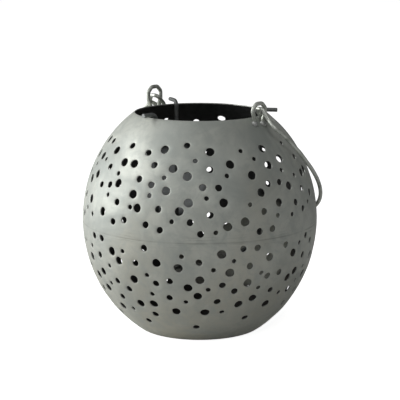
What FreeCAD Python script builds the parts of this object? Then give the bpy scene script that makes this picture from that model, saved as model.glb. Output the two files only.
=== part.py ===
"""Punched tin lantern: an open globe of two lapped tin bowls, a swinging wire bail and a lift-out candle cradle.

The frame: +Z up, the origin at the centre of the flat base. X runs along the bail's hinge line, towards the
ear on the right of the photograph. The modelled pose is the photographed one, with the bail dropped to +Y.
"""
import FreeCAD, Part
import Sketcher
import math
import os

# The driving dimensions in millimetres, with angles in degrees.
SIZES = {
    "globe_radius": 90.0,
    "globe_half_height": 98.7,
    "rim_above_equator": 82.2,
    "base_below_equator": 84.25,
    "sheet": 0.8,
    "base_edge_radius": 2.4,
    "lap_height": 3.5,
    "lap_clearance": 0.3,
    "wire": 3.1,
    "large_punch": 6.5,
    "medium_punch": 5.0,
    "small_punch": 3.5,
    "punch_depth": 12.0,
    "hinge_above_rim": 6.8,
    "hinge_from_axis": 5.8,
    "ear_from_axis": 55.0,
    "near_ear_height": 3.9,
    "far_ear_height": 6.9,
    "ear_half_width": 6.6,
    "ear_foot_spread": 4.4,
    "solder_radius": 2.6,
    "bail_radius": 77.0,
    "bail_centre": 52.3,
    "bail_offset": 8.3,
    "bail_droop": 44.8,
    "eye_width": 7.0,
    "eye_length": 14.2,
    "hook_reach": 13.0,
    "hook_above_rim": 2.5,
    "hook_bend": 4.5,
    "leg_from_axis": 46.0,
    "leg_knee_height": 70.0,
    "cradle_height": 50.0,
    "cup_radius": 21.0,
    "cup_depth": 17.0,
    "cup_lip": 2.2,
    "seat_clearance": 0.35,
    "weld_radius": 2.5,
}

# Where the viewer of the photograph stands, as a bearing in this frame; punch turns are counted from it.
VIEW_BEARING = -46.0

# The punched holes: the turn round the lantern from the viewer, to the right, as a share of a full turn,
# and the height over the equator as a share of the globe's half height.
LARGE_PUNCH_SHARES = (
    (-0.060, 0.649), (0.017, 0.642), (0.047, 0.553), (-0.040, 0.526), (-0.018, 0.475), (-0.047, 0.371),
    (0.0785, 0.468), (-0.015, 0.292), (0.032, 0.292), (-0.027, 0.232), (0.0595, 0.147), (0.036, 0.118),
    (0.028, -0.084), (-0.0575, -0.162), (-0.028, -0.192), (0.040, -0.233), (0.000, -0.284), (0.067, -0.328),
    (-0.016, -0.350), (-0.003, -0.419), (-0.0715, -0.509), (0.0595, -0.506), (-0.037, -0.560), (0.008, -0.564),
    (0.1135, 0.638), (0.113, 0.523), (0.1425, 0.554), (0.088, 0.344), (0.142, 0.359), (0.1155, 0.255),
    (0.097, -0.140), (0.1415, -0.148), (0.1545, -0.308), (0.1405, -0.348), (0.081, -0.465), (0.111, -0.540),
    (0.154, -0.457), (-0.162, 0.602), (-0.1285, 0.536), (-0.1075, 0.536), (-0.127, 0.386), (-0.096, 0.327),
    (-0.0865, 0.233), (-0.149, 0.161), (-0.129, -0.125), (-0.117, -0.188), (-0.0955, -0.317), (-0.096, -0.524),
    (-0.147, -0.597), (-0.199, 0.535), (-0.189, 0.407), (-0.208, 0.357), (-0.187, 0.221), (-0.187, -0.230),
    (-0.160, -0.320), (-0.1805, -0.370), (-0.163, -0.456), (0.1895, 0.417), (0.200, 0.256), (0.199, -0.229),
    (0.187, -0.368), (-0.222, 0.646), (-0.229, 0.532), (0.2045, 0.429),
)
MEDIUM_PUNCH_SHARES = (
    (-0.022, 0.682), (-0.071, 0.541), (0.015, 0.523), (-0.0695, 0.406), (0.004, 0.400), (0.026, 0.397),
    (-0.0555, 0.240), (0.0135, 0.206), (-0.0125, 0.153), (-0.072, 0.120), (-0.052, 0.089), (0.001, 0.069),
    (-0.012, -0.020), (-0.074, -0.056), (0.057, -0.053), (0.077, -0.056), (-0.001, -0.145), (0.0675, -0.192),
    (-0.041, -0.302), (-0.061, -0.328), (0.031, -0.331), (0.049, -0.387), (-0.044, -0.441), (0.0255, -0.469),
    (-0.0755, -0.607), (-0.0065, -0.707), (0.1025, 0.399), (0.124, 0.397), (0.0885, 0.207), (0.150, 0.230),
    (0.1665, 0.168), (0.080, 0.066), (0.100, 0.074), (0.124, -0.069), (0.168, -0.193), (0.0975, -0.291),
    (0.118, -0.280), (0.110, -0.419), (0.0805, -0.644), (-0.128, 0.652), (-0.088, 0.619), (-0.1585, 0.484),
    (-0.0905, 0.436), (-0.1445, 0.364), (-0.1655, 0.349), (-0.122, 0.254), (-0.1255, 0.107), (-0.106, 0.133),
    (-0.1495, -0.044), (-0.094, -0.031), (-0.158, -0.183), (-0.0885, -0.182), (-0.129, -0.362), (-0.109, -0.410),
    (-0.1315, -0.497), (-0.098, -0.684), (0.173, 0.312), (0.171, -0.043), (0.188, -0.101), (0.1665, -0.591),
    (-0.195, 0.650), (-0.218, 0.228), (-0.214, 0.084), (-0.169, -0.044), (-0.188, -0.490), (0.1895, 0.535),
    (0.1855, -0.501), (-0.232, 0.395), (-0.210, -0.325), (-0.241, -0.360), (-0.177, -0.677), (0.222, 0.177),
)
SMALL_PUNCH_SHARES = (
    (0.070, 0.637), (-0.007, 0.581), (-0.052, 0.461), (0.0395, 0.477), (-0.070, 0.330), (0.009, 0.325),
    (0.0685, 0.267), (-0.0365, 0.156), (0.0205, 0.079), (-0.0235, -0.101), (0.045, -0.142), (0.018, -0.206),
    (-0.073, -0.267), (0.0115, -0.365), (-0.070, -0.422), (-0.0205, -0.472), (0.035, -0.566), (0.090, 0.577),
    (0.136, 0.475), (0.1635, 0.420), (0.1105, 0.164), (0.1385, 0.150), (0.1545, -0.084), (0.0865, -0.257),
    (0.086, -0.379), (0.1315, -0.463), (-0.133, 0.453), (-0.1435, 0.291), (-0.098, 0.233), (-0.1085, -0.105),
    (-0.139, -0.249), (-0.148, -0.401), (-0.119, -0.589), (-0.1815, 0.524), (-0.211, 0.467), (-0.198, 0.144),
    (-0.177, 0.116), (-0.180, -0.133), (-0.210, -0.122), (0.185, 0.200), (0.178, -0.299), (0.1675, -0.400),
    (0.173, 0.648),
)
# The far side is punched alike, this share of a turn on and this share lower, up to a top height, but for
# the places that are left out.
FAR_PUNCH_TOP_SHARE = 0.6
FAR_TURN_SHARE = 0.49
FAR_DROP_SHARE = 0.02
FAR_LEFT_OUT_SHARES = (
    (0.0595, 0.147), (0.028, -0.084), (-0.0575, -0.162), (0.008, -0.564), (0.142, 0.359), (0.1895, 0.417),
    (0.2045, 0.429), (0.001, 0.069), (0.077, -0.056), (-0.0065, -0.707), (0.1665, 0.168), (0.124, -0.069),
    (-0.1495, -0.044), (-0.188, -0.490), (0.045, -0.142), (-0.0205, -0.472), (0.185, 0.200), (-0.149, 0.161),
    (-0.027, 0.232), (-0.160, -0.320), (-0.117, -0.188),
)
# The far side's own punches: a row under the rim, the two flanks, and those that let daylight through.
FAR_OWN_SMALL_SHARES = (
    (-0.431, 0.697), (0.350, 0.680), (-0.330, 0.680), (0.389, 0.438), (0.393, 0.143), (0.615, -0.348),
    (0.720, -0.460), (0.620, -0.700), (0.685, 0.080), (0.658, 0.110), (0.250, 0.100), (0.742, -0.550),
    (0.445, -0.070), (0.262, -0.060), (0.630, -0.580), (0.375, -0.260), (0.752, -0.200),
)
FAR_OWN_MEDIUM_SHARES = (
    (-0.493, 0.668), (0.400, 0.655), (-0.380, 0.650), (0.300, 0.650), (-0.280, 0.640), (0.487, 0.229),
    (0.314, 0.158), (0.280, -0.608), (0.744, -0.090), (0.720, 0.410), (0.748, 0.120), (0.725, -0.280),
    (0.742, 0.280), (0.690, 0.390), (0.340, 0.130), (0.250, 0.220), (0.658, 0.580), (0.250, -0.640),
    (0.535, -0.700), (0.252, 0.447),
)
FAR_OWN_LARGE_SHARES = (
    (0.456, 0.700), (0.256, -0.220), (0.270, -0.480), (0.330, 0.590), (0.545, 0.360), (0.296, -0.070),
    (0.742, 0.530), (0.742, -0.680), (0.710, -0.070), (0.490, -0.590),
)

# The three cradle legs hook over the rim at these bearings.
LEG_BEARINGS = {"right_cradle_leg": 35.5, "back_cradle_leg": 157.5, "front_cradle_leg": 269.5}

doc = FreeCAD.newDocument("PunchedTinLantern")
sheet = doc.addObject("Spreadsheet::Sheet", "Sizes")
for row, (name, value) in enumerate(SIZES.items(), start=1):
    sheet.set("A" + str(row), name)
    sheet.set("B" + str(row), str(value))
    sheet.setAlias("B" + str(row), name)
doc.recompute()


def size(name):
    """A driving dimension, read from the sheet."""
    return float(getattr(sheet, name))


def bound(type_name, name, **expressions):
    """A new object whose properties follow the sheet."""
    thing = doc.addObject(type_name, name)
    for prop, expression in expressions.items():
        thing.setExpression(prop.replace("__", "."), expression)
    return thing


def cut(name, base, tool):
    """The base less the tool."""
    piece = doc.addObject("Part::Cut", name)
    piece.Base = base
    piece.Tool = tool
    return piece


def fuse(name, shapes):
    """One piece made of several."""
    piece = doc.addObject("Part::MultiFuse", name)
    piece.Shapes = shapes
    return piece


def held(name, shape):
    """A helper shape kept as a document object."""
    piece = doc.addObject("Part::Feature", name)
    piece.Shape = shape
    return piece


def rounded_route(points, radii):
    """A wire of straight runs with a tangent arc at each inner point."""
    edges = []
    start = points[0]
    for corner, after, radius in zip(points[1:-1], points[2:], radii):
        inward = (start - corner).normalize()
        outward = (after - corner).normalize()
        half_turn = (math.pi - inward.getAngle(outward)) / 2
        set_back = radius * math.tan(half_turn)
        bend_start = corner + inward * set_back
        bend_end = corner + outward * set_back
        middle_line = (inward + outward).normalize()
        bend_middle = corner + middle_line * (radius / math.cos(half_turn) - radius)
        edges.append(Part.LineSegment(start, bend_start).toShape())
        edges.append(Part.Arc(bend_start, bend_middle, bend_end).toShape())
        start = bend_end
    edges.append(Part.LineSegment(start, points[-1]).toShape())
    return edges


def wire_piece(name, edges):
    """Round wire swept along a route of edges."""
    route = held(name + "_route", Part.Wire(edges))
    first = edges[0]
    heading = first.tangentAt(first.FirstParameter)
    section = bound("Part::Circle", name + "_section", Radius="Sizes.wire / 2")
    section.Placement = FreeCAD.Placement(
        first.valueAt(first.FirstParameter),
        FreeCAD.Rotation(FreeCAD.Vector(0, 0, 1), heading),
    )
    piece = doc.addObject("Part::Sweep", name + "_wire")
    piece.Sections = [section]
    piece.Spine = (route, [])
    piece.Solid = True
    piece.Frenet = False
    return piece


# Levels and places that follow from the driving dimensions.
EQUATOR = size("base_below_equator")
RIM = EQUATOR + size("rim_above_equator")
HINGE = FreeCAD.Vector(0, size("hinge_from_axis"), RIM + size("hinge_above_rim"))


def globe_radius_at(height, inset=0.0):
    """The globe's outer radius at a height over the equator, drawn in by an inset."""
    share = height / (size("globe_half_height") - inset)
    return (size("globe_radius") - inset) * math.sqrt(1 - share * share)


def globe_wall(name, lowest, highest):
    """The sheet wall of the globe between two heights over the equator, as a solid of revolution."""
    curves = []
    corners = []
    for inset in (0.0, size("sheet")):
        ellipse = Part.Ellipse(
            FreeCAD.Vector(0, 0, size("globe_half_height") - inset),
            FreeCAD.Vector(size("globe_radius") - inset, 0, 0),
            FreeCAD.Vector(0, 0, 0),
        )
        low = FreeCAD.Vector(globe_radius_at(lowest, inset), 0, lowest)
        high = FreeCAD.Vector(globe_radius_at(highest, inset), 0, highest)
        first, last = sorted((ellipse.parameter(low), ellipse.parameter(high)))
        curves.append(Part.ArcOfEllipse(ellipse, first, last).toShape())
        corners.append((low, high))
    outer, inner = corners
    curves.append(Part.LineSegment(outer[0], inner[0]).toShape())
    curves.append(Part.LineSegment(outer[1], inner[1]).toShape())
    wall = doc.addObject("Part::Revolution", name)
    wall.Source = held(name + "_profile", Part.Face(Part.Wire(Part.__sortEdges__(curves))))
    wall.Axis = FreeCAD.Vector(0, 0, 1)
    wall.Angle = 360
    wall.Placement.Base = FreeCAD.Vector(0, 0, EQUATOR)
    return wall


def tube(name, outer, inner, height, level):
    """A short round band standing on a level; all sizes are sheet expressions."""
    core = bound("Part::Cylinder", name + "_core", Radius=inner, Height=height, Placement__Base__z=level)
    full = bound("Part::Cylinder", name + "_full", Radius=outer, Height=height, Placement__Base__z=level)
    return cut(name, full, core)


def punches(name, groups):
    """Punches driven square to the globe's surface; each group is a diameter and its places in shares."""
    pins = []
    depth = size("punch_depth")
    for diameter, places in groups:
        for turn, height in places:
            bearing = math.radians(VIEW_BEARING + 360 * turn)
            radius = globe_radius_at(height * size("globe_half_height"))
            place = FreeCAD.Vector(
                radius * math.cos(bearing),
                radius * math.sin(bearing),
                height * size("globe_half_height"),
            )
            normal = FreeCAD.Vector(
                place.x / size("globe_radius") ** 2,
                place.y / size("globe_radius") ** 2,
                place.z / size("globe_half_height") ** 2,
            ).normalize()
            foot = place - normal * (depth / 2) + FreeCAD.Vector(0, 0, EQUATOR)
            pins.append(Part.makeCylinder(diameter / 2, depth, foot, normal))
    return held(name, Part.makeCompound(pins))


def both_sides(places):
    """The seen half's places and the far half's, which are turned on, a little lower and end sooner."""
    far = [
        (turn + FAR_TURN_SHARE, height - FAR_DROP_SHARE)
        for turn, height in places
        if height < FAR_PUNCH_TOP_SHARE and (turn, height) not in FAR_LEFT_OUT_SHARES
    ]
    return list(places) + far


def of_half(places, upper):
    """The places of one bowl."""
    return [place for place in places if (place[1] > 0) == upper]


def punch_groups(upper):
    """The three punch sizes with their places on one bowl."""
    groups = (
        ("large_punch", LARGE_PUNCH_SHARES, FAR_OWN_LARGE_SHARES),
        ("medium_punch", MEDIUM_PUNCH_SHARES, FAR_OWN_MEDIUM_SHARES),
        ("small_punch", SMALL_PUNCH_SHARES, FAR_OWN_SMALL_SHARES),
    )
    return [
        (size(name), of_half(both_sides(seen) + list(far_own), upper))
        for name, seen, far_own in groups
    ]


def make_upper_shell():
    """The upper bowl: the open mouth's plain cut rim down to the equator."""
    wall = globe_wall("upper_wall", 0.0, size("rim_above_equator"))
    return cut("upper_shell_solid", wall, punches("upper_punches", punch_groups(True)))


def make_lower_shell():
    """The lower bowl: flat floor, round wall and the neck that is set in under the upper bowl's edge."""
    wall = globe_wall("lower_wall", -size("base_below_equator"), 0.0)
    floor = doc.addObject("Part::Cylinder", "lower_floor")
    floor.Radius = globe_radius_at(-size("base_below_equator"))
    floor.setExpression("Height", "Sizes.sheet")
    neck_outer = "Sizes.globe_radius - Sizes.sheet - Sizes.lap_clearance"
    neck_inner = "Sizes.globe_radius - 2 * Sizes.sheet - Sizes.lap_clearance"
    step_level = "Sizes.base_below_equator - 2 * Sizes.sheet"
    neck = tube("neck", neck_outer, neck_inner, "2 * Sizes.sheet + Sizes.lap_height", step_level)
    step = tube("neck_step", "Sizes.globe_radius - Sizes.sheet / 2", neck_inner, "2 * Sizes.sheet", step_level)
    bowl = fuse("lower_bowl", [wall, floor, neck, step])
    doc.recompute()
    edge_index = 0
    for index, edge in enumerate(bowl.Shape.Edges, start=1):
        box = edge.BoundBox
        if abs(box.ZMax) < size("sheet") / 10 and box.XLength > size("globe_radius") / 2:
            edge_index = index
    rounded = doc.addObject("Part::Fillet", "lower_bowl_rounded")
    rounded.Base = bowl
    rounded.Edges = [(edge_index, size("base_edge_radius"), size("base_edge_radius"))]
    return cut("lower_shell_solid", rounded, punches("lower_punches", punch_groups(False)))


def ear_route(side, top):
    """The route of one ear: a wire loop square to the hinge line, its two feet turned down to the shell."""
    half = size("ear_half_width")
    spread = size("ear_foot_spread")
    drop = size("hinge_above_rim") + 3 * size("solder_radius")
    neck = 1.25 * half
    belly = 0.4 * half
    shoulder = top - 0.55 * half
    profile = (
        (-spread, -drop), (-spread, -neck), (-half, -belly), (-half, shoulder), (-0.45 * half, top),
        (0.45 * half, top), (half, shoulder), (half, -belly), (spread, -neck), (spread, -drop),
    )
    place = HINGE + FreeCAD.Vector(side * size("ear_from_axis"), 0, 0)
    points = [place + FreeCAD.Vector(0, across, up) for across, up in profile]
    wide = half
    tight = half / 2
    return rounded_route(points, (wide, wide, tight, tight, tight, tight, wide, wide))


def make_ear(name, side, top_alias):
    """One ear, ended flush on the globe's surface."""
    ear = wire_piece(name, ear_route(side, size(top_alias)))
    return cut(name + "_solid", ear, globe_solid(name + "_seat"))


def globe_solid(name):
    """The globe as one solid, the surface that feet and solder sit on."""
    return bound(
        "Part::Ellipsoid", name,
        Radius1="Sizes.globe_half_height",
        Radius2="Sizes.globe_radius",
        Radius3="Sizes.globe_radius",
        Placement__Base__z="Sizes.base_below_equator",
    )


def make_solder(name, side, ear):
    """The two beads of solder round an ear's feet."""
    beads = []
    for index, across in enumerate((-1, 1)):
        y_place = HINGE.y + across * size("ear_foot_spread")
        x_place = side * size("ear_from_axis")
        share = math.hypot(x_place, y_place) / size("globe_radius")
        bead = bound("Part::Sphere", name + "_bead_" + str(index), Radius="Sizes.solder_radius")
        bead.Placement.Base = FreeCAD.Vector(
            x_place, y_place, EQUATOR + size("globe_half_height") * math.sqrt(1 - share * share)
        )
        beads.append(bead)
    pair = fuse(name + "_pair", beads)
    seated = cut(name + "_seated", pair, globe_solid(name + "_seat"))
    return cut(name + "_solid", seated, ear)


def bail_point(across, along, lift):
    """A point of the bail: across it, along it from the hinge line, and out of its plane."""
    droop = math.radians(size("bail_droop"))
    return HINGE + FreeCAD.Vector(
        across,
        along * math.cos(droop) + lift * math.sin(droop),
        lift * math.cos(droop) - along * math.sin(droop),
    )


def make_bail():
    """The bail: a round arch of wire, stepped in at both ends to a closed eye through each ear."""
    ear = size("ear_from_axis")
    width = size("eye_width")
    length = size("eye_length")
    radius = size("bail_radius")
    centre = size("bail_centre")
    offset = -size("bail_offset")
    inner = ear - 0.5 * width
    outer = ear + 0.5 * width
    step = radius - ear
    crossing = (inner, 0.35 * length, 0)
    strand = [
        crossing,
        (inner, 0, 0),
        (outer, 0, 0),
        (ear + 1.14 * width, 0.46 * length, 0.5 * offset),
        (ear + 0.62 * step, 0.7 * length, 0.97 * offset),
        (ear + 0.85 * step, 1.23 * length, offset),
        (radius, 0.73 * centre, offset),
        (radius, centre, offset),
    ]
    strand_bends = (0.45 * width, 0.37 * width, width, width, 2 * width, 4 * width)
    curl = [
        crossing,
        (inner, 0.69 * length, 0),
        (ear + 0.07 * width, length, 0),
        (ear + 0.86 * width, 0.915 * length, 0),
        (ear + 0.97 * width, 0.42 * length, 0.27 * offset),
    ]
    curl_bends = (0.57 * width, 0.37 * width, 0.37 * width)
    right = [bail_point(*place) for place in strand]
    left = [bail_point(-place[0], place[1], place[2]) for place in strand]
    arch = Part.Arc(right[-1], bail_point(0, centre + radius, offset), left[-1]).toShape()
    edges = rounded_route(right, strand_bends) + [arch]
    edges += rounded_route(left[::-1], strand_bends[::-1])
    pieces = [wire_piece("bail_strand", edges)]
    for name, sign in (("right_curl", 1), ("left_curl", -1)):
        points = [bail_point(sign * across, along, lift) for across, along, lift in curl]
        pieces.append(wire_piece(name, rounded_route(points, curl_bends)))
    return fuse("bail_solid", pieces)


def around(bearing, radius, level):
    """A point at a bearing and radius from the axis, at a level."""
    turn = math.radians(bearing)
    return FreeCAD.Vector(radius * math.cos(turn), radius * math.sin(turn), level)


def make_ring():
    """The ring of the cradle that the cup's lip rests on."""
    return bound(
        "Part::Torus", "cradle_ring_solid",
        Radius1="Sizes.cup_radius + Sizes.seat_clearance + Sizes.wire / 2",
        Radius2="Sizes.wire / 2",
        Placement__Base__z="Sizes.cradle_height",
    )


def make_leg(name, bearing, ring):
    """One leg of the cradle: hooked over the rim, down inside the wall and in to the ring."""
    leg = size("leg_from_axis")
    hook_level = RIM + size("hook_above_rim")
    ring_radius = size("cup_radius") + size("seat_clearance") + size("wire") / 2
    points = [
        around(bearing, leg + size("hook_reach"), hook_level),
        around(bearing, leg, hook_level),
        around(bearing, leg, size("leg_knee_height")),
        around(bearing, ring_radius, size("cradle_height")),
    ]
    route = rounded_route(points, (size("hook_bend"), 3 * size("hook_bend")))
    return cut(name + "_solid", wire_piece(name, route), ring)


def make_welds(ring, legs):
    """A weld at the outer side of each joint between a leg and the ring."""
    beads = []
    ring_radius = size("cup_radius") + size("seat_clearance") + size("wire") / 2
    weld = size("weld_radius")
    for name, bearing in LEG_BEARINGS.items():
        bead = bound("Part::Sphere", name + "_weld", Radius="Sizes.weld_radius")
        bead.Placement.Base = around(bearing, ring_radius + weld, size("cradle_height") + size("wire") / 4)
        beads.append(bead)
    welds = cut("welds_off_ring", fuse("weld_beads", beads), ring)
    for leg in legs:
        welds = cut("welds_off_" + leg.Name, welds, leg)
    return welds


def plane_of(body, role):
    """One of a body's own origin planes."""
    for plane in body.Origin.OriginFeatures:
        if plane.Role == role:
            return plane
    raise ValueError(role)


def circle_sketch(body, name, support, radius, level):
    """A sketch of one circle about the axis, its radius and level bound to the sheet."""
    sketch = body.newObject("Sketcher::SketchObject", name)
    sketch.AttachmentSupport = [(support, "")]
    sketch.MapMode = "FlatFace"
    sketch.setExpression("AttachmentOffset.Base.z", level)
    circle = sketch.addGeometry(Part.Circle(FreeCAD.Vector(0, 0, 0), FreeCAD.Vector(0, 0, 1), size("cup_radius")))
    sketch.addConstraint(Sketcher.Constraint("Coincident", circle, 3, -1, 1))
    index = sketch.addConstraint(Sketcher.Constraint("Radius", circle, size("cup_radius")))
    sketch.setExpression("Constraints[" + str(index) + "]", radius)
    return sketch


def make_cup():
    """The candle cup: a drawn tin pan with a flat lip, hung in the ring."""
    body = doc.addObject("PartDesign::Body", "cup_body")
    plane = plane_of(body, "XY_Plane")
    pan = body.newObject("PartDesign::Pad", "cup_pan")
    pan.Profile = circle_sketch(body, "cup_pan_outline", plane, "Sizes.cup_radius", "0 mm")
    pan.setExpression("Length", "Sizes.cup_depth")
    doc.recompute()
    lip = body.newObject("PartDesign::Pad", "cup_lip")
    lip.Profile = circle_sketch(
        body, "cup_lip_outline", plane, "Sizes.cup_radius + Sizes.cup_lip", "Sizes.cup_depth - Sizes.sheet"
    )
    lip.setExpression("Length", "Sizes.sheet")
    doc.recompute()
    solid_volume = lip.Shape.Volume
    hollow = body.newObject("PartDesign::Pocket", "cup_hollow")
    hollow.Profile = circle_sketch(
        body, "cup_hollow_outline", plane, "Sizes.cup_radius - Sizes.sheet", "Sizes.cup_depth"
    )
    hollow.setExpression("Length", "Sizes.cup_depth - Sizes.sheet")
    doc.recompute()
    if hollow.Shape.Volume > solid_volume / 2:
        raise ValueError("the cup's hollow is not cut")
    body.Placement.Base = FreeCAD.Vector(
        0, 0,
        size("cradle_height") + size("wire") / 2 + size("seat_clearance") - size("cup_depth") + size("sheet"),
    )
    return body


def labelled(piece, label):
    """The finished piece under its own name."""
    piece.Label = label
    return piece


upper_shell = labelled(make_upper_shell(), "upper_shell")
lower_shell = labelled(make_lower_shell(), "lower_shell")
near_ear = labelled(make_ear("near", 1, "near_ear_height"), "near_ear")
far_ear = labelled(make_ear("far", -1, "far_ear_height"), "far_ear")
near_solder = labelled(make_solder("near_solder", 1, near_ear), "near_ear_solder")
far_solder = labelled(make_solder("far_solder", -1, far_ear), "far_ear_solder")
bail = labelled(make_bail(), "bail_handle")
cradle_ring = labelled(make_ring(), "cradle_ring")
legs = [labelled(make_leg(name, bearing, cradle_ring), name) for name, bearing in LEG_BEARINGS.items()]
welds = labelled(make_welds(cradle_ring, legs), "cradle_welds")
cup = labelled(make_cup(), "candle_cup")
nodes = [
    upper_shell, lower_shell, near_ear, far_ear, near_solder, far_solder, bail, cradle_ring, *legs, welds, cup
]

doc.recompute()
for thing in doc.Objects:
    if "Invalid" in thing.State or "Error" in thing.State:
        raise ValueError(thing.Name + " failed to build")
os.makedirs("parts", exist_ok=True)
for node in nodes:
    shape = node.Shape
    if shape.isNull() or not shape.isValid() or not shape.Solids:
        raise ValueError(node.Label + " is not a valid solid")
    shape.exportStep("parts/" + node.Label + ".step")
    box = shape.BoundBox
    print(
        node.Label, "solids", len(shape.Solids), "volume", round(shape.Volume, 1),
        "z", round(box.ZMin, 2), round(box.ZMax, 2),
    )
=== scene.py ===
"""Looks of the punched tin lantern: punched bowls, wire ears, a wire bail and a cradle with a cup."""

import logging
import math
from dataclasses import dataclass, field
from enum import Enum
from typing import Any

import bmesh
import bpy
import numpy as np
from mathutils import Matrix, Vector, noise
from mathutils.geometry import delaunay_2d_cdt


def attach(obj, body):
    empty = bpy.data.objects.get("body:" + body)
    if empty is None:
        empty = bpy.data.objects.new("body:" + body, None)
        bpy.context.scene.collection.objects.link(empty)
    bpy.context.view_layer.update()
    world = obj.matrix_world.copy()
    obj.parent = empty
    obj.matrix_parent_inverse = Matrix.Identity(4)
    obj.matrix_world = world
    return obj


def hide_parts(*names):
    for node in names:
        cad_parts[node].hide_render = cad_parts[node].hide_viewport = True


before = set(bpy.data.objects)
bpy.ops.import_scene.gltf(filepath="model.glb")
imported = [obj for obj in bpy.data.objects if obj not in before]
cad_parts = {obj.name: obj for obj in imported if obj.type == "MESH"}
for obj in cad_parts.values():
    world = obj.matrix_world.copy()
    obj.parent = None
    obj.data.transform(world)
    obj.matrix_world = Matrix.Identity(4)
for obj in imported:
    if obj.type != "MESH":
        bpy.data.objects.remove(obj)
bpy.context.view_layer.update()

log = logging.getLogger("lantern")
MM = 0.001
TURN = 2 * math.pi
SEAM_HEIGHT = 84.25 * MM
Colour = tuple[float, float, float]
Place = tuple[float, float, float]
Settings = dict[str, Any] | None
Inputs = dict[Any, Any] | None


class Side(Enum):
    """Which bowl of the globe a piece belongs to."""

    UPPER = "upper_shell"
    LOWER = "lower_shell"


class Face(Enum):
    """The three surfaces of a punched sheet, in the order of its material slots."""

    OUTSIDE = 0
    INSIDE = 1
    CUT = 2


@dataclass(frozen=True)
class Value:
    """A node's output, with Python's operators for the Math node where it carries a number."""

    nodes: "Nodes"
    socket: Any

    def _math(self, operation: str, first: Any, second: Any) -> "Value":
        """Adds one Math node and returns its result."""
        made = self.nodes.add("ShaderNodeMath", {"operation": operation}, {0: first, 1: second})
        return Value(self.nodes, made.outputs[0])

    def __add__(self, other: Any) -> "Value":
        """self + other."""
        return self._math("ADD", self, other)

    def __radd__(self, other: Any) -> "Value":
        """other + self."""
        return self._math("ADD", other, self)

    def __sub__(self, other: Any) -> "Value":
        """self - other."""
        return self._math("SUBTRACT", self, other)

    def __rsub__(self, other: Any) -> "Value":
        """other - self."""
        return self._math("SUBTRACT", other, self)

    def __mul__(self, other: Any) -> "Value":
        """self * other."""
        return self._math("MULTIPLY", self, other)

    def __rmul__(self, other: Any) -> "Value":
        """other * self."""
        return self._math("MULTIPLY", other, self)

    def max(self, other: Any) -> "Value":
        """The larger of the two."""
        return self._math("MAXIMUM", self, other)

    def span(self, low: float, high: float) -> "Value":
        """Spreads the stretch from low to high smoothly over 0 to 1.

        Args:
            low: the value that becomes 0.
            high: the value that becomes 1.

        Returns:
            The spread value.
        """
        settings = {"interpolation_type": "SMOOTHSTEP"}
        made = self.nodes.add("ShaderNodeMapRange", settings, {0: self, 1: low, 2: high})
        return Value(self.nodes, made.outputs[0])


@dataclass(frozen=True)
class Nodes:
    """Adds nodes to one shader, world or geometry node tree."""

    tree: Any

    def add(self, kind: str, settings: Settings = None, inputs: Inputs = None) -> Any:
        """Adds one node.

        Args:
            kind: the node's type.
            settings: its properties, which are set first.
            inputs: what goes into its sockets, by name or number: a Value, a socket or a constant.

        Returns:
            The node.
        """
        node = self.tree.nodes.new(kind)
        for name, value in (settings or {}).items():
            setattr(node, name, value)
        for key, value in (inputs or {}).items():
            source = value.socket if isinstance(value, Value) else value
            if isinstance(source, bpy.types.NodeSocket):
                self.tree.links.new(source, node.inputs[key])
            else:
                node.inputs[key].default_value = source
        return node

    def value(self, kind: str, settings: Settings = None, inputs: Inputs = None, out: Any = 0) -> Value:
        """Adds one node and wraps one of its outputs.

        Args:
            kind: the node's type.
            settings: its properties.
            inputs: what goes into its sockets.
            out: the output's name or number.

        Returns:
            The wrapped output.
        """
        return Value(self, self.add(kind, settings, inputs).outputs[out])

    def mix(self, share: Any, first: Any, second: Any) -> Value:
        """Mixes two colours.

        Args:
            share: how much of the second shows.
            first: a colour or an output.
            second: a colour or an output.

        Returns:
            The mixed colour.
        """
        inputs = {0: share, 6: solid(first), 7: solid(second)}
        return self.value("ShaderNodeMix", {"data_type": "RGBA"}, inputs, 2)

    def noise(self, place: Value, scale: float, detail: float, rough: float, twist: float = 0.0) -> Value:
        """A cloudy value from 0 to 1.

        Args:
            place: the coordinates.
            scale: cells to the metre.
            detail: how many finer layers lie on it.
            rough: how strong the finer layers are.
            twist: how far it is warped.

        Returns:
            The value.
        """
        inputs = {"Vector": place, "Scale": scale, "Detail": detail, "Roughness": rough, "Distortion": twist}
        return self.value("ShaderNodeTexNoise", None, inputs)

    def squeezed(self, place: Value, upward: float) -> Value:
        """Coordinates for marks that run round the globe, above 1, or up and down it, below 1."""
        return self.value("ShaderNodeMapping", None, {"Vector": place, "Scale": (1.0, 1.0, upward)})

    def relief(self, strength: float, depth: float, height: Value) -> Value:
        """The normal of a skin with the given height over it.

        Args:
            strength: how much of it shows.
            depth: its depth in metres.
            height: the height, about 0 to 1.

        Returns:
            The normal.
        """
        inputs = {"Strength": strength, "Distance": depth, "Height": height}
        return self.value("ShaderNodeBump", None, inputs)


def solid(colour: Any) -> Any:
    """Gives a colour of three numbers its alpha and leaves an output as it is."""
    return (*colour, 1.0) if isinstance(colour, tuple) and len(colour) == 3 else colour


def fresh_material(name: str) -> tuple[bpy.types.Material, Nodes, Any]:
    """Starts a material and returns it with its nodes and its shader."""
    material = bpy.data.materials.new(name)
    material.use_nodes = True
    return material, Nodes(material.node_tree), material.node_tree.nodes["Principled BSDF"]


def feed(nodes: Nodes, shader: Any, **values: Value) -> None:
    """Links values into a shader's sockets, whose names are written with underscores."""
    for name, value in values.items():
        nodes.tree.links.new(value.socket, shader.inputs[name.replace("_", " ")])


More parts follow.
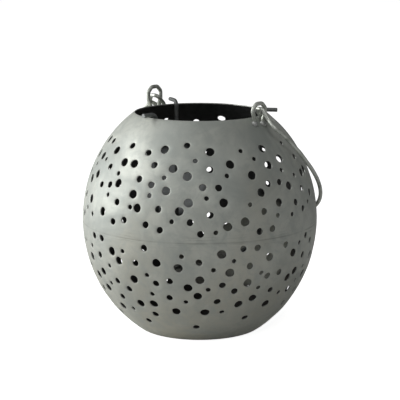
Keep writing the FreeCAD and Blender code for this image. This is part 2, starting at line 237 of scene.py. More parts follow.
@dataclass(frozen=True)
class Mottle:
    """Cloudy patches on a surface.

    Attributes:
        scale: patches to the metre.
        detail: how many finer layers lie on them.
        rough: how strong the finer layers are.
        twist: how far they are warped.
        start: the noise at which a patch begins.
        full: the noise at which it is full.
        share: how much a full patch changes what it lies on.
    """

    scale: float
    detail: float
    rough: float
    twist: float
    start: float
    full: float
    share: float = 1.0

    def over(self, nodes: Nodes, place: Value) -> Value:
        """The patches, from 0 between them to their share where they are full."""
        cloudy = nodes.noise(place, self.scale, self.detail, self.rough, self.twist)
        return cloudy.span(self.start, self.full) * self.share


@dataclass(frozen=True)
class LightPool:
    """A round painted pool of light, where a sheet is painted paler."""

    centre: Place
    reach: float
    tone: Colour


@dataclass(frozen=True)
class SheetFinish:
    """Dull tinned sheet, clouded grey, with fine lines round the globe and handling marks; it can carry a
    painted highlight round the punches, painted shade with grime along the seam and painted pools of light.
    """

    name: str
    pale: Colour
    dark: Colour
    warm: Colour
    roughness: float = 0.52
    metal: float = 0.40
    grain: float = 0.10
    grain_depth: float = 0.8 * MM
    clouds: Mottle = Mottle(17.0, 5.0, 0.62, 0.8, 0.34, 0.68)
    tint: Mottle = Mottle(11.0, 2.0, 0.5, 0.4, 0.45, 0.70, 0.5)
    patches: Mottle = Mottle(34.0, 4.0, 0.6, 1.6, 0.50, 0.72, 0.65)
    runs: Mottle = Mottle(70.0, 3.0, 0.6, 0.0, 0.56, 0.72, 0.45)
    specks: Mottle = Mottle(420.0, 2.0, 0.7, 0.0, 0.66, 0.80, 0.25)
    flecks: Mottle = Mottle(150.0, 5.0, 0.72, 0.6, 0.47, 0.66, 0.42)
    line_squeeze: float = 16.0
    run_squeeze: float = 0.10
    lines: tuple[float, ...] = (26.0, 4.0, 0.7)
    fine: tuple[float, ...] = (1500.0, 2.0, 0.6)
    waves: tuple[float, ...] = (60.0, 3.0, 0.5)
    lines_height: float = 0.55
    fine_height: float = 0.30
    waves_height: float = 0.6
    clouds_dulling: float = 0.13
    lines_dulling: float = 0.10
    patches_gloss: float = 0.077
    warm_below: float = 110 * MM
    warm_below_share: float = 0.45
    # A painted highlight: the outside is painted paler close to each punch's edge, and this is the distance
    # over which it fades.
    edge_highlight: float = 0.0
    edge_highlight_fade: tuple[float, float] = (0.2 * MM, 1.1 * MM)
    # Painted shade with grime along the seam, and grime smeared a little way off it.
    seam: float = 0.0
    seam_line: tuple[float, float] = (0.1 * MM, 0.9 * MM)
    seam_faint: float = 0.06
    seam_strong: float = 0.34
    seam_smear: tuple[float, float] = (0.5 * MM, 9 * MM)
    smears: Mottle = Mottle(55.0, 5.0, 0.7, 0.0, 0.50, 0.66, 0.34)
    breaks: Mottle = Mottle(24.0, 3.0, 0.7, 0.0, 0.38, 0.62)
    shade_and_grime: Colour = (0.12, 0.125, 0.11)
    # Painted pools of light, and the soft wavering of their edges.
    light_pools: tuple[LightPool, ...] = ()
    pool_core: float = 0.75
    pool_waver: float = 12 * MM
    wavers: tuple[float, ...] = (40.0, 3.0, 0.6)

    def make(self) -> bpy.types.Material:
        """Builds the material."""
        material, nodes, shader = fresh_material(self.name)
        place = nodes.value("ShaderNodeTexCoord", out="Object")
        shader.inputs["Metallic"].default_value = self.metal
        flat = nodes.squeezed(place, self.line_squeeze)
        level = nodes.value("ShaderNodeSeparateXYZ", None, {0: place}, "Z")
        lines = nodes.noise(flat, *self.lines)
        clouds = self.clouds.over(nodes, place)
        patches = self.patches.over(nodes, place)
        tone = self.handled(nodes, place, level, nodes.mix(clouds, self.pale, self.dark), patches)
        # Painted highlight: the tone turns paler close to the punches' edges.
        if self.edge_highlight:
            near = nodes.value("ShaderNodeAttribute", {"attribute_name": "edge_distance"}, None, "Fac")
            painted_halo = 1.0 - near.span(*self.edge_highlight_fade)
            tone = nodes.mix(painted_halo * self.edge_highlight, tone, self.pale)
        # Painted shade with grime along the seam.
        if self.seam:
            tone = nodes.mix(self.seam_shade_and_grime(nodes, place, flat, level), tone, self.shade_and_grime)
        # Painted pools of light, where the sheet has them.
        tone = self.paint_light_pools(nodes, place, tone)
        dulled = self.roughness + self.clouds_dulling * clouds + self.lines_dulling * (lines - 0.5)
        rough = dulled - self.patches_gloss * patches
        fine = nodes.noise(place, *self.fine)
        waves = nodes.noise(place, *self.waves)
        height = self.lines_height * lines + self.fine_height * fine + self.waves_height * waves
        normal = nodes.relief(self.grain, self.grain_depth, height)
        feed(nodes, shader, Base_Color=tone, Roughness=rough, Normal=normal)
        return material

    def handled(self, nodes: Nodes, place: Value, level: Value, tone: Value, patches: Value) -> Value:
        """Lays warm patches, growing warmer towards the bottom, dark patches and the marks of handling on a
        tone.

        Args:
            nodes: the material's nodes.
            place: the coordinates.
            level: the height over the floor.
            tone: the clouded tone.
            patches: the dark patches.

        Returns:
            The new tone.
        """
        # The tone turns warmer towards the bottom.
        low = 1.0 - level.span(0.0, self.warm_below)
        warm = self.tint.over(nodes, place) + low * self.warm_below_share
        tone = nodes.mix(warm, tone, self.warm)
        tone = nodes.mix(patches, tone, self.dark)
        tone = nodes.mix(self.runs.over(nodes, nodes.squeezed(place, self.run_squeeze)), tone, self.pale)
        tone = nodes.mix(self.specks.over(nodes, place), tone, self.dark)
        return nodes.mix(self.flecks.over(nodes, place), tone, self.dark)

    def seam_shade_and_grime(self, nodes: Nodes, place: Value, flat: Value, level: Value) -> Value:
        """Painted shade with grime along the seam, broken along its length, and grime smeared a little way
        off it.

        Args:
            nodes: the material's nodes.
            place: the coordinates.
            flat: the coordinates for marks that run round the globe.
            level: the height over the floor.

        Returns:
            How much of the painted shade and grime shows.
        """
        apart = nodes.value("ShaderNodeMath", {"operation": "ABSOLUTE"}, {0: level - self.seam})
        breaks = self.breaks.over(nodes, place)
        caught = (1.0 - apart.span(*self.seam_line)) * (self.seam_faint + self.seam_strong * breaks)
        smeared = (1.0 - apart.span(*self.seam_smear)) * self.smears.over(nodes, flat) * breaks
        return caught.max(smeared)

    def paint_light_pools(self, nodes: Nodes, place: Value, tone: Value) -> Value:
        """Lays the painted pools of light on a tone, with wavering edges."""
        for patch in self.light_pools:
            settings = {"operation": "DISTANCE"}
            apart = nodes.value("ShaderNodeVectorMath", settings, {0: place, 1: patch.centre}, "Value")
            apart = apart + self.pool_waver * (nodes.noise(place, *self.wavers) - 0.5)
            share = 1.0 - apart.span(self.pool_core * patch.reach, patch.reach)
            tone = nodes.mix(share, tone, patch.tone)
        return tone


@dataclass(frozen=True)
class WireFinish:
    """Drawn wire: a satin skin with tarnish in patches and rubbed spots."""

    name: str
    pale: Colour
    dark: Colour
    roughness: float
    metal: float
    lump: float = 0.15
    lump_depth: float = 0.4 * MM
    lumps: tuple[float, ...] = (700.0, 3.0, 0.6)
    tarnish_height: float = 0.8
    tarnish_dulling: float = 0.16
    rubbed_gloss: float = 0.12
    tarnish: Mottle = Mottle(110.0, 4.0, 0.6, 0.5, 0.40, 0.66)
    rubbed: Mottle = Mottle(260.0, 3.0, 0.6, 0.0, 0.58, 0.72, 0.5)

    def make(self) -> bpy.types.Material:
        """Builds the material."""
        material, nodes, shader = fresh_material(self.name)
        place = nodes.value("ShaderNodeTexCoord", out="Object")
        shader.inputs["Metallic"].default_value = self.metal
        tarnish = self.tarnish.over(nodes, place)
        rubbed = self.rubbed.over(nodes, place)
        tone = nodes.mix(tarnish, self.pale, self.dark)
        tone = nodes.mix(rubbed, tone, self.pale)
        rough = self.roughness + self.tarnish_dulling * tarnish - self.rubbed_gloss * rubbed
        height = nodes.noise(place, *self.lumps) + self.tarnish_height * tarnish
        normal = nodes.relief(self.lump, self.lump_depth, height)
        feed(nodes, shader, Base_Color=tone, Roughness=rough, Normal=normal)
        return material


OUTER_TIN = SheetFinish(
    "tin_outside",
    pale=(0.52, 0.54, 0.49),
    dark=(0.36, 0.385, 0.36),
    warm=(0.47, 0.46, 0.385),
    # painted highlight round the punches
    edge_highlight=0.35,
    # painted shade with grime along the seam
    seam=SEAM_HEIGHT,
)
INNER_TIN = SheetFinish(
    "tin_inside",
    pale=(0.075, 0.078, 0.076),
    dark=(0.04, 0.042, 0.041),
    warm=(0.065, 0.058, 0.045),
    roughness=0.6,
    metal=0.2,
    grain=0.2,
    # Painted pools of light on the inner wall, where lamp light falling in through the mouth would lie: a
    # pale blue-grey one high up and a dimmer olive one lower down.
    light_pools=(
        LightPool((-75.3 * MM, 46.1 * MM, 98.3 * MM), 32 * MM, (0.76, 0.79, 0.80)),
        LightPool((-13.8 * MM, 81.8 * MM, 48.1 * MM), 42 * MM, (0.37, 0.38, 0.33)),
    ),
)
CUP_TIN = SheetFinish("cup_sheet", pale=(0.46, 0.47, 0.44), dark=(0.33, 0.34, 0.33), warm=(0.40, 0.37, 0.30))
CUT_TIN = WireFinish("tin_cut_edge", (0.50, 0.52, 0.49), (0.30, 0.31, 0.29), roughness=0.42, metal=0.6)
WIRE = WireFinish("tinned_wire_skin", (0.60, 0.62, 0.57), (0.33, 0.35, 0.31), roughness=0.36, metal=0.65)
BURNT_WIRE = WireFinish(
    "cradle_wire_skin", (0.20, 0.21, 0.205), (0.07, 0.075, 0.072), roughness=0.45, metal=0.6
)
SOLDER = WireFinish(
    "dull_solder", (0.50, 0.51, 0.49), (0.33, 0.34, 0.33), roughness=0.45, metal=0.7, lump=0.6
)


@dataclass(frozen=True)
class Punch:
    """One round punch through the sheet."""

    bearing: float
    height: float
    radius: float


@dataclass(frozen=True)
class Globe:
    """The round body, an ellipse turned about the lantern's axis, in metres."""

    radius: float = 90 * MM
    half_height: float = 98.7 * MM
    centre: float = SEAM_HEIGHT
    rim: float = 166.45 * MM
    sheet: float = 0.8 * MM

    def reach(self, height: Any) -> Any:
        """Distance of the outer surface from the axis at a height."""
        return self.radius * np.sqrt(np.maximum(0.0, 1 - ((height - self.centre) / self.half_height) ** 2))

    def outward(self, height: Any) -> tuple[Any, Any]:
        """The outward direction at a height, as its radial and upward parts."""
        across = self.reach(height) / self.radius**2
        up = (height - self.centre) / self.half_height**2
        size = np.hypot(across, up)
        return across / size, up / size


# Corners of the frame's meshes that lie nearer than this, in metres, are one.
SAME_PLACE = 2e-6
# A face belongs to a punch's wall if it looks less than this along the sheet's outward direction.
WALL_FACING = 0.5
# A punch's wall has at least so many corners and is no wider than this.
LEAST_CORNERS = 8
WIDEST_PUNCH = 14 * MM
# How far the walls searched for punches keep from the lower and the upper edge of each bowl.
CLEAR_OF_EDGES = {Side.UPPER: (0.6 * MM, 1.5 * MM), Side.LOWER: (3.5 * MM, 1.3 * MM)}


def weld(mesh: bpy.types.Mesh) -> tuple[np.ndarray, np.ndarray]:
    """Reads a mesh of loose triangles with its shared corners merged.

    Args:
        mesh: the mesh.

    Returns:
        The corners' places and the triangles' corner numbers.
    """
    mesh.calc_loop_triangles()
    places = np.zeros(len(mesh.vertices) * 3, np.float32)
    mesh.vertices.foreach_get("co", places)
    corners = np.zeros(len(mesh.loop_triangles) * 3, np.int64)
    mesh.loop_triangles.foreach_get("vertices", corners)
    keys = np.round(places.reshape(-1, 3) / SAME_PLACE).astype(np.int64)
    _, first, back = np.unique(keys, axis=0, return_index=True, return_inverse=True)
    return places.reshape(-1, 3)[first].astype(float), back.ravel()[corners].reshape(-1, 3)


def fit_punch(cloud: np.ndarray, globe: Globe) -> Punch:
    """Fits a circle on the globe's surface to points of a punch's wall, also where only part of it is there.

    Args:
        cloud: the points.
        globe: the body's sizes.

    Returns:
        The punch.
    """
    middle = cloud.mean(0)
    out_flat, out_up = globe.outward(middle[2])
    cos, sin = middle[:2] / np.hypot(middle[0], middle[1])
    across = np.array([-sin, cos, 0.0])
    up = np.array([-out_up * cos, -out_up * sin, out_flat])
    x, y = (cloud - middle) @ across, (cloud - middle) @ up
    answer = np.linalg.lstsq(np.stack([x, y, np.ones(len(x))], 1), x * x + y * y, rcond=None)[0]
    centre = middle + across * answer[0] / 2 + up * answer[1] / 2
    radius = math.sqrt(answer[2] + (answer[0] ** 2 + answer[1] ** 2) / 4)
    return Punch(math.atan2(centre[1], centre[0]), float(centre[2]), radius)


def joined(triangles: np.ndarray) -> list[np.ndarray]:
    """Sorts the corner numbers of triangles into groups that hang together."""
    used = np.unique(triangles)
    group = np.arange(used[-1] + 1)
    before = None
    while not np.array_equal(group, before):
        before = group.copy()
        np.minimum.at(group, triangles, group[triangles].min(1, keepdims=True))
    return [used[group[used] == n] for n in np.unique(group[used])]


def find_punches(side: Side, globe: Globe) -> list[Punch]:
    """Finds the punches in the frame's own shell, by the walls that go through the sheet.

    Args:
        side: which bowl.
        globe: the body's sizes.

    Returns:
        The punches.
    """
    places, corners = weld(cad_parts[side.value].data)
    a, b, c = (places[corners[:, k]] for k in range(3))
    normal = np.cross(b - a, c - a)
    normal /= np.maximum(np.linalg.norm(normal, axis=1, keepdims=True), 1e-15)
    middle = (a + b + c) / 3
    across, up = globe.outward(middle[:, 2])
    bearing = np.arctan2(middle[:, 1], middle[:, 0])
    facing = (normal[:, 0] * np.cos(bearing) + normal[:, 1] * np.sin(bearing)) * across + normal[:, 2] * up
    low, high = (globe.centre, globe.rim) if side is Side.UPPER else (0.0, globe.centre)
    from_low, from_high = CLEAR_OF_EDGES[side]
    wall = np.abs(facing) < WALL_FACING
    wall &= (middle[:, 2] > low + from_low) & (middle[:, 2] < high - from_high)
    found = []
    for members in joined(corners[wall]):
        cloud = places[members]
        if len(members) >= LEAST_CORNERS and np.linalg.norm(np.ptp(cloud, axis=0)) <= WIDEST_PUNCH:
            found.append(fit_punch(cloud, globe))
    return sorted(found, key=lambda p: (round(p.height, 5), round(p.bearing, 5)))


@dataclass
class Band:
    """The punched part of a bowl between two heights, laid out flat, triangulated and folded back."""

    globe: Globe
    bottom: float
    top: float
    punches: list[Punch]
    seed: int
    round_count: int = 224
    contour_count: int = 22
    grid: float = 2.7 * MM
    row_share: float = 0.87
    table_steps: int = 3000
    size_spread: tuple[float, float] = (0.97, 1.04)
    wave_spread: tuple[float, float] = (0.2, 1.0)
    waves: tuple[tuple[int, float], ...] = ((1, 0.035), (2, 0.055), (3, 0.035), (4, 0.015), (5, 0.012))
    rings: tuple[float, ...] = (0.28 * MM, 0.9 * MM, 1.9 * MM)
    ring_share: float = 0.8
    margin_share: float = 0.55
    round_off: float = 2 * MM
    outline_margin: float = 0.45 * MM
    loose_margin: float = 0.9 * MM
    dimple: float = 0.20 * MM
    dimple_reach: float = 1.3 * MM
    roll: float = 0.12 * MM
    ripple: float = 0.30 * MM
    ripple_scale: float = 42.0
    calm_reach: float = 9 * MM
    groove: float = 0.11 * MM
    groove_reach: float = 0.6 * MM

    def __post_init__(self) -> None:
        """Makes the tables that carry a height to its place on the flat layout, and the outlines."""
        self.heights = np.linspace(self.bottom, self.top, self.table_steps)
        reach = self.globe.reach(self.heights)
        step = np.hypot(np.diff(self.heights), np.diff(reach))
        self.along = np.concatenate([[0], np.cumsum(step)])
        log_scale = np.concatenate([[0], np.cumsum(step / ((reach[1:] + reach[:-1]) / 2))])
        self.sign = -1 if self.top > self.globe.centre else 1
        self.flat = np.exp(self.sign * log_scale)
        self.turn = np.arange(self.contour_count) / self.contour_count * TURN
        chance = np.random.default_rng(self.seed)
        self.shapes = [self.outline(p, chance) for p in self.punches]
        self.radii = [shape.mean() for shape in self.shapes]
        self.middles = [(p.bearing, np.interp(p.height, self.heights, self.along)) for p in self.punches]

    def outline(self, punch: Punch, chance: np.random.Generator) -> np.ndarray:
        """A punch's slightly uneven outline, as its distance from the middle at each step.

        Args:
            punch: the punch.
            chance: the seeded chance.

        Returns:
            The distances.
        """
        size = punch.radius * chance.uniform(*self.size_spread)
        shape = np.ones(self.contour_count)
        for waves, most in self.waves:
            most = chance.uniform(*self.wave_spread) * most
            shape += most * np.cos(waves * self.turn + chance.uniform(0, TURN))
        return size * shape

    def flat_place(self, bearing: np.ndarray, along: np.ndarray) -> np.ndarray:
        """Places points, one row each, on the flat layout, which keeps their angles."""
        reach = np.interp(along, self.along, self.flat)
        return np.stack([reach * np.cos(bearing), reach * np.sin(bearing)], 1)

    def to_nearest_punch(self, bearing: np.ndarray, along: np.ndarray) -> np.ndarray:
        """How far points lie outside the nearest punch, taken as round, at most a metre.

        Args:
            bearing: angle round the axis.
            along: length up the outer surface.

        Returns:
            The distances, below zero inside a punch.
        """
        reach = self.globe.reach(np.interp(along, self.along, self.heights))
        nearest = np.full(len(bearing), 1.0)
        for middle, radius in zip(self.middles, self.radii):
            apart = np.abs((bearing - middle[0] + math.pi) % TURN - math.pi) * reach
            nearest = np.minimum(nearest, np.hypot(apart, along - middle[1]) - radius)
        return nearest

    def fixed_points(self) -> tuple[np.ndarray, np.ndarray, list[tuple[int, int]]]:
        """Places the points of both ends and of the punches' outlines.

        Returns:
            Their bearings, their lengths up the surface and the edges between them.
        """
        count = self.round_count
        turn = np.arange(count) / count * TURN
        bearing, along = [turn, turn], [np.zeros(count), np.full(count, self.along[-1])]
        edges = [(k, (k + 1) % count) for k in range(count)]
        edges += [(count + k, count + (k + 1) % count) for k in range(count)]
        self.contours: list[list[int]] = []
        least, most = self.outline_margin, self.along[-1] - self.outline_margin
        for punch, shape, middle in zip(self.punches, self.shapes, self.middles):
            reach = float(self.globe.reach(punch.height))
            bearing.append(middle[0] + shape * np.cos(self.turn) / reach)
            along.append(np.clip(middle[1] + shape * np.sin(self.turn), least, most))
            start = 2 * count + len(self.contours) * self.contour_count
            numbers = list(range(start, start + self.contour_count))
            self.contours.append(numbers)
            edges += list(zip(numbers, numbers[1:] + numbers[:1]))
        return np.concatenate(bearing), np.concatenate(along), edges

    def loose_points(self) -> tuple[np.ndarray, np.ndarray]:
        """Places points in rings round the punches and in rows over the rest of the sheet.

        Returns:
            Their bearings and their lengths up the surface.
        """
        bearing, along, margin = [], [], []
        for punch, shape, middle in zip(self.punches, self.shapes, self.middles):
            reach = float(self.globe.reach(punch.height))
            for k, ring in enumerate(self.rings):
                smooth = shape + (shape.mean() - shape) * min(1.0, ring / self.round_off) + ring
                turn = self.turn + (k % 2) * math.pi / self.contour_count
                at = np.interp(turn, np.append(self.turn, TURN), np.append(smooth, smooth[0]))
                bearing.append(middle[0] + at * np.cos(turn) / reach)
                along.append(middle[1] + at * np.sin(turn))
                margin.append(np.full(self.contour_count, ring * self.ring_share))
        rows = max(4, round(self.along[-1] / (self.grid * self.row_share)))
        for row in range(1, rows):
            level = self.along[-1] * row / rows
            reach = float(self.globe.reach(np.interp(level, self.along, self.heights)))
            here = max(24, round(TURN * reach / self.grid))
            bearing.append((np.arange(here) + 0.5 * (row % 2)) / here * TURN)
            along.append(np.full(here, level))
            margin.append(np.full(here, self.rings[-1] + self.loose_margin))
        all_bearing, all_along = np.concatenate(bearing), np.concatenate(along)
        keep = (all_along > self.loose_margin) & (all_along < self.along[-1] - self.loose_margin)
        least = np.concatenate(margin) * self.margin_share
        keep &= self.to_nearest_punch(all_bearing, all_along) > least
        return all_bearing[keep], all_along[keep]

    def layout(self) -> None:
        """Chooses the points and joins them into triangles, leaving the punches open."""
        bearing, along, edges = self.fixed_points()
        loose_bearing, loose_along = self.loose_points()
        self.bearing = np.concatenate([bearing, loose_bearing])
        self.length = np.concatenate([along, loose_along])
        flat = self.flat_place(self.bearing, self.length)
        points = [Vector((float(x), float(y))) for x, y in flat]
        made = delaunay_2d_cdt(points, edges, [], 0, 1e-9)
        source = [origins[0] if origins else -1 for origins in made[3]]
        triangles = np.array([[source[n] for n in f] for f in made[2] if len(f) == 3])
        triangles = triangles[(triangles >= 0).all(1)]
        inner = self.round_count if self.sign < 0 else 0
        in_hole = ((triangles >= inner) & (triangles < inner + self.round_count)).all(1)
        centre = flat[triangles].mean(1)
        in_punch = np.zeros(len(triangles), bool)
        for numbers in self.contours:
            outline = flat[numbers]
            near = ((centre > outline.min(0)) & (centre < outline.max(0))).all(1)
            for n in np.where(near)[0]:
                in_punch[n] |= in_outline(centre[n], outline)
        self.triangles = triangles[~(in_punch | in_hole)]
        self.edge_gap = np.maximum(self.to_nearest_punch(self.bearing, self.length), 0.0)
        self.edge_gap[np.ravel(self.contours)] = 0.0

    def fold(self) -> tuple[np.ndarray, np.ndarray]:
        """Folds the layout back round the axis, dimpled at the punches and slightly uneven.

        Returns:
            The places on the outside and on the inside of the sheet.
        """
        height = np.interp(self.length, self.along, self.heights)
        reach = self.globe.reach(height)
        across, up = self.globe.outward(height)
        cos, sin = np.cos(self.bearing), np.sin(self.bearing)
        place = np.stack([reach * cos, reach * sin, height], 1)
        out = np.stack([across * cos, across * sin, up], 1)
        rolled = np.zeros(len(height))
        rolled[np.ravel(self.contours)] = self.roll
        from_end = np.minimum(self.length, self.along[-1] - self.length)
        calm = np.clip(from_end / self.calm_reach, 0, 1)
        wave = [noise.fractal(Vector(p) * self.ripple_scale, 0.9, 2.0, 3) for p in place.tolist()]
        sunk = self.dimple * np.exp(-((self.edge_gap / self.dimple_reach) ** 2))
        sunk += self.ripple * calm * np.clip(0.5 + 0.7 * np.array(wave), 0, 1)
        sunk += self.groove * np.exp(-((from_end / self.groove_reach) ** 2))
        outer = place - out * (sunk + rolled)[:, None]
        inner = place - out * (sunk + self.globe.sheet)[:, None]
        return outer, inner


def in_outline(point: np.ndarray, outline: np.ndarray) -> bool:
    """Says whether a flat point lies inside a closed outline."""
    x, y = point
    after = np.roll(outline, -1, 0)
    crosses = (outline[:, 1] > y) != (after[:, 1] > y)
    lift = after[:, 1] - outline[:, 1]
    lift = np.where(lift == 0, 1e-30, lift)
    at = outline[:, 0] + (y - outline[:, 1]) * (after[:, 0] - outline[:, 0]) / lift
    return bool(np.count_nonzero(crosses & (x < at)) % 2)


def make_object(name: str, mesh: bpy.types.Mesh, materials: list[bpy.types.Material]) -> bpy.types.Object:
    """Puts a mesh with its materials, in the order of their slots, into the scene as an object."""
    for material in materials:
        mesh.materials.append(material)
    made = bpy.data.objects.new(name, mesh)
    bpy.context.scene.collection.objects.link(made)
    return made


@dataclass
class Bowl:
    """One punched bowl with its plain edges, made as a closed sheet."""

    side: Side
    globe: Globe
    seed: int
    materials: list[bpy.types.Material]
    lap: float = 3.5 * MM
    lap_gap: float = 0.3 * MM
    lap_ease: float = 4 * MM
    rim_round: float = 0.45 * MM
    neck_round: float = 0.3 * MM
    neck_drop: float = 0.1 * MM
    base_bend: float = 2.4 * MM
    bend_steps: int = 9
    base_shares: tuple[float, ...] = (0.9, 0.72, 0.5, 0.28, 0.1)
    wall_foot: float = 0.3 * MM
    band_foot: float = 4.6 * MM
    sharp: float = math.radians(48)
    punches: list[Punch] = field(default_factory=list)
    places: list[np.ndarray] = field(default_factory=list)
    faces: list[tuple[int, ...]] = field(default_factory=list)
    kinds: list[int] = field(default_factory=list)

    def add_ring(self, reach: float, height: float, count: int) -> list[int]:
        """Adds a ring of points at a distance from the axis and returns their numbers."""
        turn = np.arange(count) / count * TURN
        ring = np.stack([reach * np.cos(turn), reach * np.sin(turn), np.full(count, height)], 1)
        start = sum(len(p) for p in self.places)
        self.places.append(ring)
        return list(range(start, start + count))

    def join(self, first: list[int], second: list[int], kind: Face) -> None:
        """Joins two rings of equal count with faces."""
        for k in range(len(first)):
            n = (k + 1) % len(first)
            self.faces.append((first[k], first[n], second[n], second[k]))
            self.kinds.append(kind.value)

    def build(self) -> bpy.types.Object:
        """Makes the bowl's object."""
        self.punches = find_punches(self.side, self.globe)
        upper = self.side is Side.UPPER
        bottom = self.globe.centre if upper else self.band_foot
        top = self.globe.rim if upper else self.globe.centre
        band = Band(self.globe, bottom, top, self.punches, self.seed)
        band.layout()
        outer, inner = band.fold()
        count, size = band.round_count, len(outer)
        if not upper:
            near_top = np.clip(1 - (band.along[-1] - band.length) / self.lap_ease, 0, 1)
            ease = near_top * near_top * (3 - 2 * near_top)
            flat = np.stack([np.cos(band.bearing), np.sin(band.bearing)], 1)
            inner[:, :2] -= flat * (ease * (self.globe.sheet + self.lap_gap))[:, None]
        self.places += [outer, inner]
        for a, b, c in band.triangles.tolist():
            self.faces += [(a, b, c), (a + size, c + size, b + size)]
            self.kinds += [Face.OUTSIDE.value, Face.INSIDE.value]
        for numbers in band.contours:
            self.join(numbers, [n + size for n in numbers], Face.CUT)
        foot = list(range(count))
        head = list(range(count, 2 * count))
        inner_foot = [n + size for n in foot]
        inner_head = [n + size for n in head]
        if upper:
            rim_reach = float(self.globe.reach(self.globe.rim)) - self.rim_round
            lip = self.add_ring(rim_reach, self.globe.rim, count)
            self.join(head, lip, Face.CUT)
            self.join(lip, inner_head, Face.CUT)
            self.join(foot, inner_foot, Face.CUT)
        else:
            self.close_base(foot, inner_foot, count)
            self.close_neck(head, inner_head, count)
        piece = self.finish_mesh(band)
        log.info("%s: %d punches, %d faces", piece.name, len(self.punches), len(self.faces))
        return piece

    def close_neck(self, head: list[int], inner_head: list[int], count: int) -> None:
        """Adds the neck that stands inside the upper bowl's edge."""
        inset = self.globe.sheet + self.lap_gap
        base, top = self.globe.centre, self.globe.centre + self.lap
        out_low = float(self.globe.reach(base)) - inset
        out_high = float(self.globe.reach(top)) - inset
        rings = [
            (out_low, base - self.neck_drop),
            (out_low, base + self.neck_round),
            (out_high, top - self.neck_drop),
            (out_high - self.neck_round, top),
            (out_high - self.globe.sheet, top - self.neck_drop),
        ]
        before = head
        for reach, height in rings:
            ring = self.add_ring(reach, height, count)
            self.join(before, ring, Face.INSIDE)
            before = ring
        self.join(before, inner_head, Face.INSIDE)

    def close_base(self, foot: list[int], inner_foot: list[int], count: int) -> None:
        """Adds the bent edge and the flat floor, inside and out."""
        bend = self.base_bend
        heights = np.linspace(self.wall_foot, self.band_foot, 400)
        reach = self.globe.reach(heights)

        def clear(middle: float) -> float:
            """How far the bend's middle lies inside the wall."""
            return float(np.hypot(reach - middle, heights - bend).min())

        low, high = float(reach[0]) - 3 * bend, float(reach[0])
        for _ in range(50):
            middle = (low + high) / 2
            low, high = (low, middle) if clear(middle) < bend else (middle, high)
        touch = int(np.hypot(reach - middle, heights - bend).argmin())
        start = math.atan2(heights[touch] - bend, reach[touch] - middle)
        wall = np.linspace(self.band_foot, heights[touch], 4)[1:-1]
        line = [(float(self.globe.reach(height)), height, *self.globe.outward(height)) for height in wall]
        for angle in np.linspace(start, -math.pi / 2, self.bend_steps):
            across, up = math.cos(angle), math.sin(angle)
            line.append((middle + bend * across, bend + bend * up, across, up))
        for share in self.base_shares:
            line.append((middle * share, 0.0, 0.0, -1.0))
        before, inner_before = foot, inner_foot
        for reach_here, height, across, up in line:
            ring = self.add_ring(reach_here, height, count)
            inner_reach = reach_here - across * self.globe.sheet
            inside = self.add_ring(inner_reach, height - up * self.globe.sheet, count)
            self.join(before, ring, Face.OUTSIDE)
            self.join(inner_before, inside, Face.INSIDE)
            before, inner_before = ring, inside
        self.faces += [tuple(before), tuple(inner_before)]
        self.kinds += [Face.OUTSIDE.value, Face.INSIDE.value]

    def finish_mesh(self, band: Band) -> bpy.types.Object:
        """Turns the points and faces into the piece."""
        places = np.concatenate(self.places)
        mesh = bpy.data.meshes.new(self.side.value + "_punched")
        mesh.from_pydata(places.tolist(), [], self.faces)
        mesh.polygons.foreach_set("material_index", self.kinds)
        gap = np.full(len(places), 1.0, np.float32)
        gap[: 2 * len(band.edge_gap)] = np.tile(band.edge_gap, 2)
        mesh.attributes.new("edge_distance", "FLOAT", "POINT").data.foreach_set("value", gap)
        work = bmesh.new()
        work.from_mesh(mesh)
        loose = [v for v in work.verts if not v.link_faces]
        bmesh.ops.delete(work, geom=loose, context="VERTS")
        bmesh.ops.recalc_face_normals(work, faces=work.faces)
        open_edges = sum(1 for e in work.edges if len(e.link_faces) != 2)
        if open_edges:
            log.warning("%s has %d open edges", mesh.name, open_edges)
        work.to_mesh(mesh)
        work.free()
        mesh.shade_smooth()
        mesh.set_sharp_from_angle(angle=self.sharp)
        piece = make_object(self.side.value + "_punched", mesh, self.materials)
        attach(piece, "lantern")
        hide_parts(self.side.value)
        return piece


